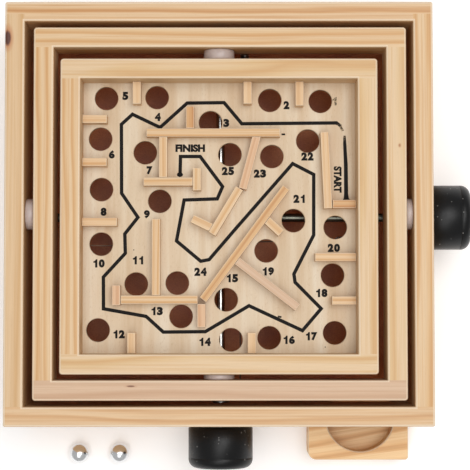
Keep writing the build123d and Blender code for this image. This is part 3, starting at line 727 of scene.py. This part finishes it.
cord_brown = braided_cord()
CORD_R = 0.4 * MM
PIN_R, PIN_HEAD_R = 0.8 * MM, 1.6 * MM          # the nails that hold the cord, and their heads
CORD_ON_PIN = 1.5 * MM                          # how far above a head's underside the cord is held
TURNS = 3                                       # turns of cord on a shaft
OVERRUN = math.radians(60)                      # more than the 58 degrees that a knob turns each way
LEG_POINTS, HALF_LEG = 40, 20                   # points along a straight leg, and to its middle
NECK = 3.2 * MM                                 # where a leg parts from its line to loop the nail
LOOP_TURN = 1.05 * 2 * math.pi
LOOP_CLIMB = 0.12 * MM                          # rise of the loop for each radian, so it clears itself
WIRE_R, COIL_R, EYE_R = 0.3 * MM, 2.0 * MM, 1.25 * MM
COIL_LENGTH, COIL_PITCH = 10.4 * MM, 0.8 * MM
EYE_OUT = 3.4 * MM                              # from an end of the coil to the middle of its eye
CORD_SHORT = 2.2 * MM                           # from the cord's end to the coil: it lies across the eye


def leg_to_nail(pin, leave, direction):
    """The first leg's line: straight from the shaft to a neck, then a loop round the nail. A
    point of the loop is the nail's middle at the leg's height, plus the loop's radius times a
    level unit vector that turns once and a little more, plus a slow climb."""
    up = np.eye(3)[2]
    to_pin = (pin - leave) @ direction
    straight = leave + np.linspace(0, to_pin - NECK, LEG_POINTS)[:, None] * direction
    turn = np.linspace(0, LOOP_TURN, 40)[:, None]
    flat = direction - (direction @ up) * up
    flat /= np.linalg.norm(flat)
    side = np.cross(up, flat)
    loop_mid = np.array([pin[0], pin[1], (leave + to_pin * direction)[2]])
    loop = loop_mid + (PIN_R + CORD_R) * (-np.cos(turn) * flat + np.sin(turn) * side)
    loop = loop + turn * LOOP_CLIMB * up
    ease = np.linspace(0, 1, 10)[1:-1, None]
    return np.concatenate([straight, straight[-1] * (1 - ease) + loop[0] * ease, loop])


def make_leg(name, path, side, cord_node, frame_body, between):
    """A cord leg, a fixed piece that rides on no body. Where it passes from the box
    through one frame to the next, it is two pieces that meet at the middle."""
    start, mid, end = path[0], path[HALF_LEG], path[LEG_POINTS - 1]
    if between is None:
        stretches = [("", path, "box", frame_body, start, end)]
    else:
        stretches = [
            ("_inner", path[: HALF_LEG + 1], "box", between, start, mid),
            ("_outer", path[HALF_LEG:], between, frame_body, mid, end),
        ]
    for part, stretch, near_body, far_body, near, far in stretches:
        points, faces, uv = swept(stretch, side, round_profile(CORD_R))
        made = piece(name + part, points, faces, cord_brown, None, corner_uv=uv)
        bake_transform(made)
        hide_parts(cord_node)


def make_spring(name, leave, direction, to_pin, side, body):
    """A tension spring: an eye, a close-wound helix and an eye round the nail. A point of the
    helix is on the leg's line, plus the coil's radius times a unit vector square to the line
    that turns once for each pitch. Each eye is a ring in the plane of the leg and the side
    vector, and the wire eases from the helix to the ring."""
    start = leave + (to_pin - EYE_OUT - COIL_LENGTH) * direction
    third = np.cross(direction, side)
    coils = COIL_LENGTH / COIL_PITCH
    angle = np.linspace(0, 2 * math.pi * coils, int(coils * 22))[:, None]
    round_line = COIL_R * (np.cos(angle) * side + np.sin(angle) * third)
    coil = start + angle / (2 * math.pi) * COIL_PITCH * direction + round_line
    eyes = []
    for tip, way, leaves_at in ((start, -1, coil[0]), (start + COIL_LENGTH * direction, 1, coil[-1])):
        ring_mid = tip + way * EYE_OUT * direction
        turn = np.linspace(0, 1.75 * math.pi, 26)[:, None]
        ring = ring_mid + EYE_R * (-way * np.cos(turn) * direction + np.sin(turn) * side)
        ease = np.linspace(0, 1, 10)[1:-1, None]
        smooth = ease * ease * (3 - 2 * ease)
        bulge = way * (ease - smooth) * 0.4 * MM * direction
        eyes.append(np.concatenate([leaves_at * (1 - smooth) + ring[0] * smooth + bulge, ring]))
    path = np.concatenate([eyes[0][::-1], coil, eyes[1]])
    tangent = np.gradient(path, axis=0)
    tangent /= np.linalg.norm(tangent, axis=1)[:, None]
    # the wire's side vector points to the leg's line in the coil and stays square elsewhere
    out = path - (start + ((path - start) @ direction)[:, None] * direction)
    out = out + 0.2 * COIL_R * np.cross(tangent, direction)
    points, faces, _ = swept(path, out, round_profile(WIRE_R, 8))
    made = piece(name + "_wire", points, faces, spring_steel, body)
    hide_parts(name)


def drive(shaft, winding, pins, spring, cord_node, along, across, knob_body, frame_body, between):
    """One knob's drive: the turns round its shaft, the two straight legs that leave the shaft's
    underside, and the spring in the second leg. along is the shaft's axis and across the one
    that the legs run in. between is the frame that the legs pass through on their way, if any.

    A leg touches the cord's circle round the shaft, so its slope is the slope from the shaft to
    the nail plus the angle whose sine is the circle's radius over the distance between them."""
    a_dir, c_dir, up = np.eye(3)[along], np.eye(3)[across], np.eye(3)[2]
    shaft_mid = middle(shaft)
    low, high = corners(pins)
    wind_low, wind_high = corners(winding)
    radius = (wind_high - wind_low)[2] / 2 - CORD_R
    legs = []
    for way, corner, head in ((-1, low, PIN_HEAD_R), (1, high, -PIN_HEAD_R)):
        pin = np.array([corner[0] + head, corner[1] + head, low[2] + CORD_ON_PIN])
        reach = abs(pin[across] - shaft_mid[across])
        rise = pin[2] - shaft_mid[2]
        slope = math.atan2(rise, reach) + math.asin(radius / math.hypot(reach, rise))
        off = shaft_mid + (pin[along] - shaft_mid[along]) * a_dir
        leave = off + way * radius * math.sin(slope) * c_dir - radius * math.cos(slope) * up
        direction = way * math.cos(slope) * c_dir + math.sin(slope) * up
        legs.append((pin, leave, direction, slope))
    (first_pin, first_leave, first_line, first_slope), (pin, leave, direction, slope) = legs
    # turns round the shaft: a helix from the first leg's tangent point to the second's. It runs
    # on past both, so that each leg still meets a turn when the shaft is at its limit
    begin, end = -math.pi / 2 - first_slope, -math.pi / 2 + slope + 2 * math.pi * TURNS
    angle = np.linspace(begin - OVERRUN, end + OVERRUN, 40 * TURNS + 16)[:, None]
    step = (angle - begin) / (end - begin)
    shift = (first_pin[along] - shaft_mid[along]) + step * (pin[along] - first_pin[along])
    helix = shaft_mid + shift * a_dir + radius * (np.cos(angle) * c_dir + np.sin(angle) * up)
    points, faces, uv = swept(helix, a_dir, round_profile(CORD_R))
    made = piece(winding + "_turns", points, faces, cord_brown, knob_body, corner_uv=uv)
    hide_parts(winding)
    # the first leg ends in a loop round its nail, the second at the spring's eye
    looped = leg_to_nail(first_pin, first_leave, first_line)
    make_leg(cord_node + "_first", looped, a_dir, cord_node, frame_body, between)
    to_pin = (pin - leave) @ direction
    to_eye = to_pin - EYE_OUT - COIL_LENGTH - CORD_SHORT
    straight = leave + np.linspace(0, to_eye, LEG_POINTS)[:, None] * direction
    make_leg(cord_node + "_second", straight, a_dir, cord_node, frame_body, between)
    make_spring(spring, leave, direction, to_pin, a_dir, frame_body)


drive("right_shaft", "right_cord_winding", "gimbal_cord_pins", "gimbal_cord_spring", "gimbal_cord",
      0, 1, "right_knob_shaft", "gimbal", None)
drive("front_shaft", "front_cord_winding", "board_cord_pins", "board_cord_spring", "board_cord",
      1, 0, "front_knob_shaft", "board", "gimbal")


# ---------------------------------------- print on the board
# Places and widths in millimetres, from the middle of the board
RUBBED = ((63.6, 44.6), (59.4, 60.0))           # where fingers have worn the print away
INK_T = 0.04 * MM
LINE_W = 1.8


def printing_ink():
    """Black screen-printing ink on wood: nearly flat black, thin enough to let the grain
    through in places, and rubbed off near the start."""
    material, tree, shader, where = new_material("printing_ink_black")
    thin = add(tree, "TexNoise", {
        "Vector": where.outputs["Object"], "Scale": 1 / (0.5 * MM), "Detail": 3.0,
    })
    rubbed_at = [
        add(tree, "VectorMath", {
            0: where.outputs["Object"], 1: tuple(on_board(*spot)),
        }, operation="DISTANCE").outputs["Value"]
        for spot in RUBBED
    ]
    nearest = add(tree, "Math", {0: rubbed_at[0], 1: rubbed_at[1]}, operation="MINIMUM")
    # worn most within 2 mm of those places, and not at all past 7 mm
    rubbed = add(tree, "MapRange", {
        0: nearest.outputs[0], 1: 2.0 * MM, 2: 7.0 * MM, 3: 0.46, 4: 0.74,
    })
    bare = add(tree, "Math", {
        0: thin.outputs["Fac"], 1: rubbed.outputs[0],
    }, operation="SUBTRACT")
    share = add(tree, "MapRange", {0: bare.outputs[0], 1: 0.0, 2: 0.12})
    colour = add(tree, "Mix", {
        0: share.outputs[0], 6: linear("#120E0C"), 7: linear("#CBB391"),
    }, data_type="RGBA")
    tree.links.new(colour.outputs[2], shader.inputs["Base Color"])
    shader.inputs["Roughness"].default_value = 0.7
    shader.inputs["Specular IOR Level"].default_value = 0.2
    return material


# The printed route from below the start to the finish
ROUTE = [
    (63.5, 44.6), (62.2, 47.4), (60.3, 48.8), (11.6, 48.4), (2.5, 59.3), (-16.5, 59.1),
    (-30.4, 46.5), (-44.6, 53.3), (-50.3, 48.1), (-50.1, 12.6), (-41.7, 0.2), (-48.4, -8.3),
    (-48.1, -18.2), (-59.3, -30.4), (-59.2, -46.6), (-37.4, -50.5), (-28.6, -58.5), (-7.1, -58.3),
    (15.2, -45.1), (42.5, -57.8), (52.1, -46.6), (38.8, -33.1), (38.2, -28.9), (48.4, -8.9),
    (48.5, 22.2), (37.7, 27.8), (8.1, -6.0), (-5.2, -21.5), (-9.5, -22.3), (-21.9, -11.9),
    (-18.0, 9.1), (-1.0, 9.7), (1.7, 16.0), (-9.8, 31.5), (-19.9, 31.5), (-20.1, 23.2),
]
# The worn line beside the word START, and the arrowhead at the end of the route, with their widths
START_LINE = [(65.2, 8.9), (65.15, 10.2), (65.1, 12.5), (65.0, 27.1), (64.5, 38.0), (64.4, 42.2)]
START_WIDTHS = [4.0, 2.5, 2.1, 2.0, 1.7, 1.2]
ARROWHEAD = [(-20.1, 23.4), (-20.15, 22.4), (-20.2, 21.4), (-20.2, 20.9)]
ARROWHEAD_WIDTHS = [1.45, 3.2, 2.6, 0.4]
DASHES = ([(32.0, 42.9), (33.9, 42.9)], [(29.9, -50.6), (31.8, -50.9)])
DASH_W = 0.9
DOTS = ((-43.8, -16.5), (54.1, -66.2))
DOT_W = 0.5
ink = printing_ink()
ink_parts = []


def ink_line(route, width):
    """A flat printed line: at each corner the edges are mitred, so the half width is divided by
    the cosine of half the turn. The section is a thin box."""
    points = np.array([on_board(x, y) for x, y in route])
    step = np.diff(points, axis=0)
    step /= np.linalg.norm(step, axis=1)[:, None]
    before = np.concatenate([step[:1], step])
    after = np.concatenate([step, step[-1:]])
    bisector = before + after
    bisector /= np.linalg.norm(bisector, axis=1)[:, None]
    half = np.broadcast_to(np.asarray(width, float) * MM / 2, len(points)) / (bisector * after).sum(1)
    left = np.stack([-bisector[:, 1], bisector[:, 0], np.zeros(len(points))], 1)
    lift = np.array([0, 0, INK_T])
    rows = np.stack([points - left * half[:, None], points + left * half[:, None]], 1)
    rows = np.concatenate([rows, rows[:, ::-1] + lift], 1)
    i, j = grid_corners(len(points), 4)
    quads = i * 4 + j % 4
    ends = [np.arange(4)[::-1], (len(points) - 1) * 4 + np.arange(4)]
    ink_parts.append((rows.reshape(-1, 3), [*quads, *ends]))


ink_line(ROUTE, [1.1, 1.5] + [LINE_W] * (len(ROUTE) - 2))
ink_line(START_LINE, START_WIDTHS)
ink_line(ARROWHEAD, ARROWHEAD_WIDTHS)
for dash in DASHES:
    ink_line(dash, DASH_W)
for x, y in DOTS:
    ink_line([(x - DOT_W / 2, y), (x + DOT_W / 2, y)], DOT_W)


def lettering(text, heavy):
    """The built-in plain letters as points (n, 3) and faces, 1 high and 1 wide. heavy thickens
    their strokes; much past 0.08 the outline of a figure closes on itself."""
    curve = bpy.data.curves.new("text", "FONT")
    curve.body = text
    curve.extrude = 0.5
    curve.offset = heavy
    curve.resolution_u = 4
    holder = bpy.data.objects.new("text", curve)
    mesh = bpy.data.meshes.new_from_object(holder)
    co = np.empty(len(mesh.vertices) * 3, np.float32)
    mesh.vertices.foreach_get("co", co)
    co = co.reshape(-1, 3).astype(float)
    faces = [np.array(p.vertices) for p in mesh.polygons]
    bpy.data.objects.remove(holder)
    bpy.data.meshes.remove(mesh)
    low, high = co.min(0), co.max(0)
    return (co - (low + high) / 2) / (high - low), faces


def figure_one():
    """The figure 1 with a flag and a straight stem, as points and faces like lettering()."""
    outline = np.array([
        (-0.06, -0.5), (0.5, -0.5), (0.5, 0.5), (0.12, 0.5), (0.0, 0.38),
        (-0.2, 0.29), (-0.5, 0.26), (-0.5, 0.08), (-0.06, 0.08),
    ])
    count = len(outline)
    points = np.concatenate([np.column_stack([outline, np.full(count, z)]) for z in (-0.5, 0.5)])
    i = np.arange(count)
    sides = np.stack([i, (i + 1) % count, (i + 1) % count + count, i + count], 1)
    return points, [i[::-1], i + count, *sides]


def print_shape(shape, x, y, width, height, turn=0):
    """A flat shape at its width and height in millimetres, turned and put on the board."""
    points, faces = shape
    flat = points[:, :2] * (width * MM, height * MM)
    angle = math.radians(turn)
    c, s = math.cos(angle), math.sin(angle)
    at = on_board(x, y)
    ink_parts.append((np.stack([
        at[0] + c * flat[:, 0] - s * flat[:, 1],
        at[1] + s * flat[:, 0] + c * flat[:, 1],
        at[2] + np.where(points[:, 2] > 0, INK_T, 0),
    ], 1), faces))


# The middle of each hole's number, from 1 to 25
NUMBERS = [
    (59.4, 60.0), (34.6, 58.0), (3.6, 48.8), (-31.6, 51.9), (-48.3, 62.8),
    (-55.2, 32.6), (-35.8, 24.4), (-59.3, 3.1), (-37.1, 1.8), (-61.8, -23.4),
    (-41.6, -21.8), (-51.4, -59.6), (-32.0, -47.8), (-7.5, -63.5), (6.5, -31.0),
    (35.5, -62.5), (46.9, -60.7), (52.2, -38.6), (24.9, -27.5), (58.7, -15.5),
    (41.2, 9.7), (45.3, 31.5), (20.9, 22.7), (-9.6, -27.7), (4.5, 24.0),
]
DIGIT_H, DIGIT_W, ONE_W, DIGIT_STEP = 4.25, 3.05, 2.05, 3.25
DIGIT_HEAVY, WORD_HEAVY = 0.075, 0.06
figures = {digit: lettering(digit, DIGIT_HEAVY) for digit in "02345678"}
figures["1"] = figure_one()
figures["9"] = (figures["6"][0] * (-1, -1, 1), figures["6"][1])      # the 6 turned half round
for number, (x, y) in enumerate(NUMBERS, 1):
    text = str(number)
    for place, digit in enumerate(text):
        across = x + DIGIT_STEP * (place - (len(text) - 1) / 2)
        print_shape(figures[digit], across, y, ONE_W if digit == "1" else DIGIT_W, DIGIT_H)
print_shape(lettering("FINISH", WORD_HEAVY), -14.9, 35.8, 15.2, 4.0)
print_shape(lettering("START", WORD_HEAVY), 60.8, 19.6, 13.6, 4.1, turn=-90)
made = piece("printed_route_and_numbers", *joined(ink_parts), ink, "board", smooth=False)


# ---------------------------------------- floor, light and camera
def studio_floor():
    """A plain pale floor, matt. A little light of its own keeps it pale round the object."""
    material, _, shader, _ = new_material("studio_floor")
    shader.inputs["Base Color"].default_value = linear("#FFFFFF")
    shader.inputs["Roughness"].default_value = 0.9
    shader.inputs["Emission Color"].default_value = linear("#FFFFFF")
    shader.inputs["Emission Strength"].default_value = 0.12
    return material


FLOOR = 6.0                                     # half its side
floor_corners = [(-FLOOR, -FLOOR, 0), (FLOOR, -FLOOR, 0), (FLOOR, FLOOR, 0), (-FLOOR, FLOOR, 0)]
piece("studio_floor", floor_corners, [(0, 1, 2, 3)], studio_floor(), None)

world = bpy.data.worlds.new("studio")
bpy.context.scene.world = world
world.use_nodes = True
world.node_tree.nodes["Background"].inputs["Color"].default_value = linear("#FFFFFF")
world.node_tree.nodes["Background"].inputs["Strength"].default_value = 0.47


def softbox(name, place, width, power):
    """A square area light that points at the object."""
    light = bpy.data.lights.new(name, "AREA")
    light.size = width
    light.energy = power
    made = bpy.data.objects.new(name, light)
    made.location = place
    made.rotation_euler = Vector([-c for c in place]).to_track_quat("-Z", "Y").to_euler()
    bpy.context.scene.collection.objects.link(made)


softbox("key_softbox", (0.45, 0.34, 1.5), 0.8, 6.4)
softbox("overhead_softbox", (0.05, -0.1, 1.8), 1.2, 11.2)
softbox("fill_softbox", (-0.1, -0.8, 1.4), 0.8, 3)

camera = bpy.data.objects.new("camera", bpy.data.cameras.new("camera"))
camera.data.sensor_width = 36.0
camera.data.lens = 122.55
camera.location = (0.00689, -0.05009, 0.87545)
camera.rotation_euler = [math.radians(turn) for turn in (2.7836, -0.0806, -0.0363)]
camera.data.clip_start = 0.01
bpy.context.scene.collection.objects.link(camera)
bpy.context.scene.camera = camera
bpy.context.scene.view_settings.view_transform = "Standard"
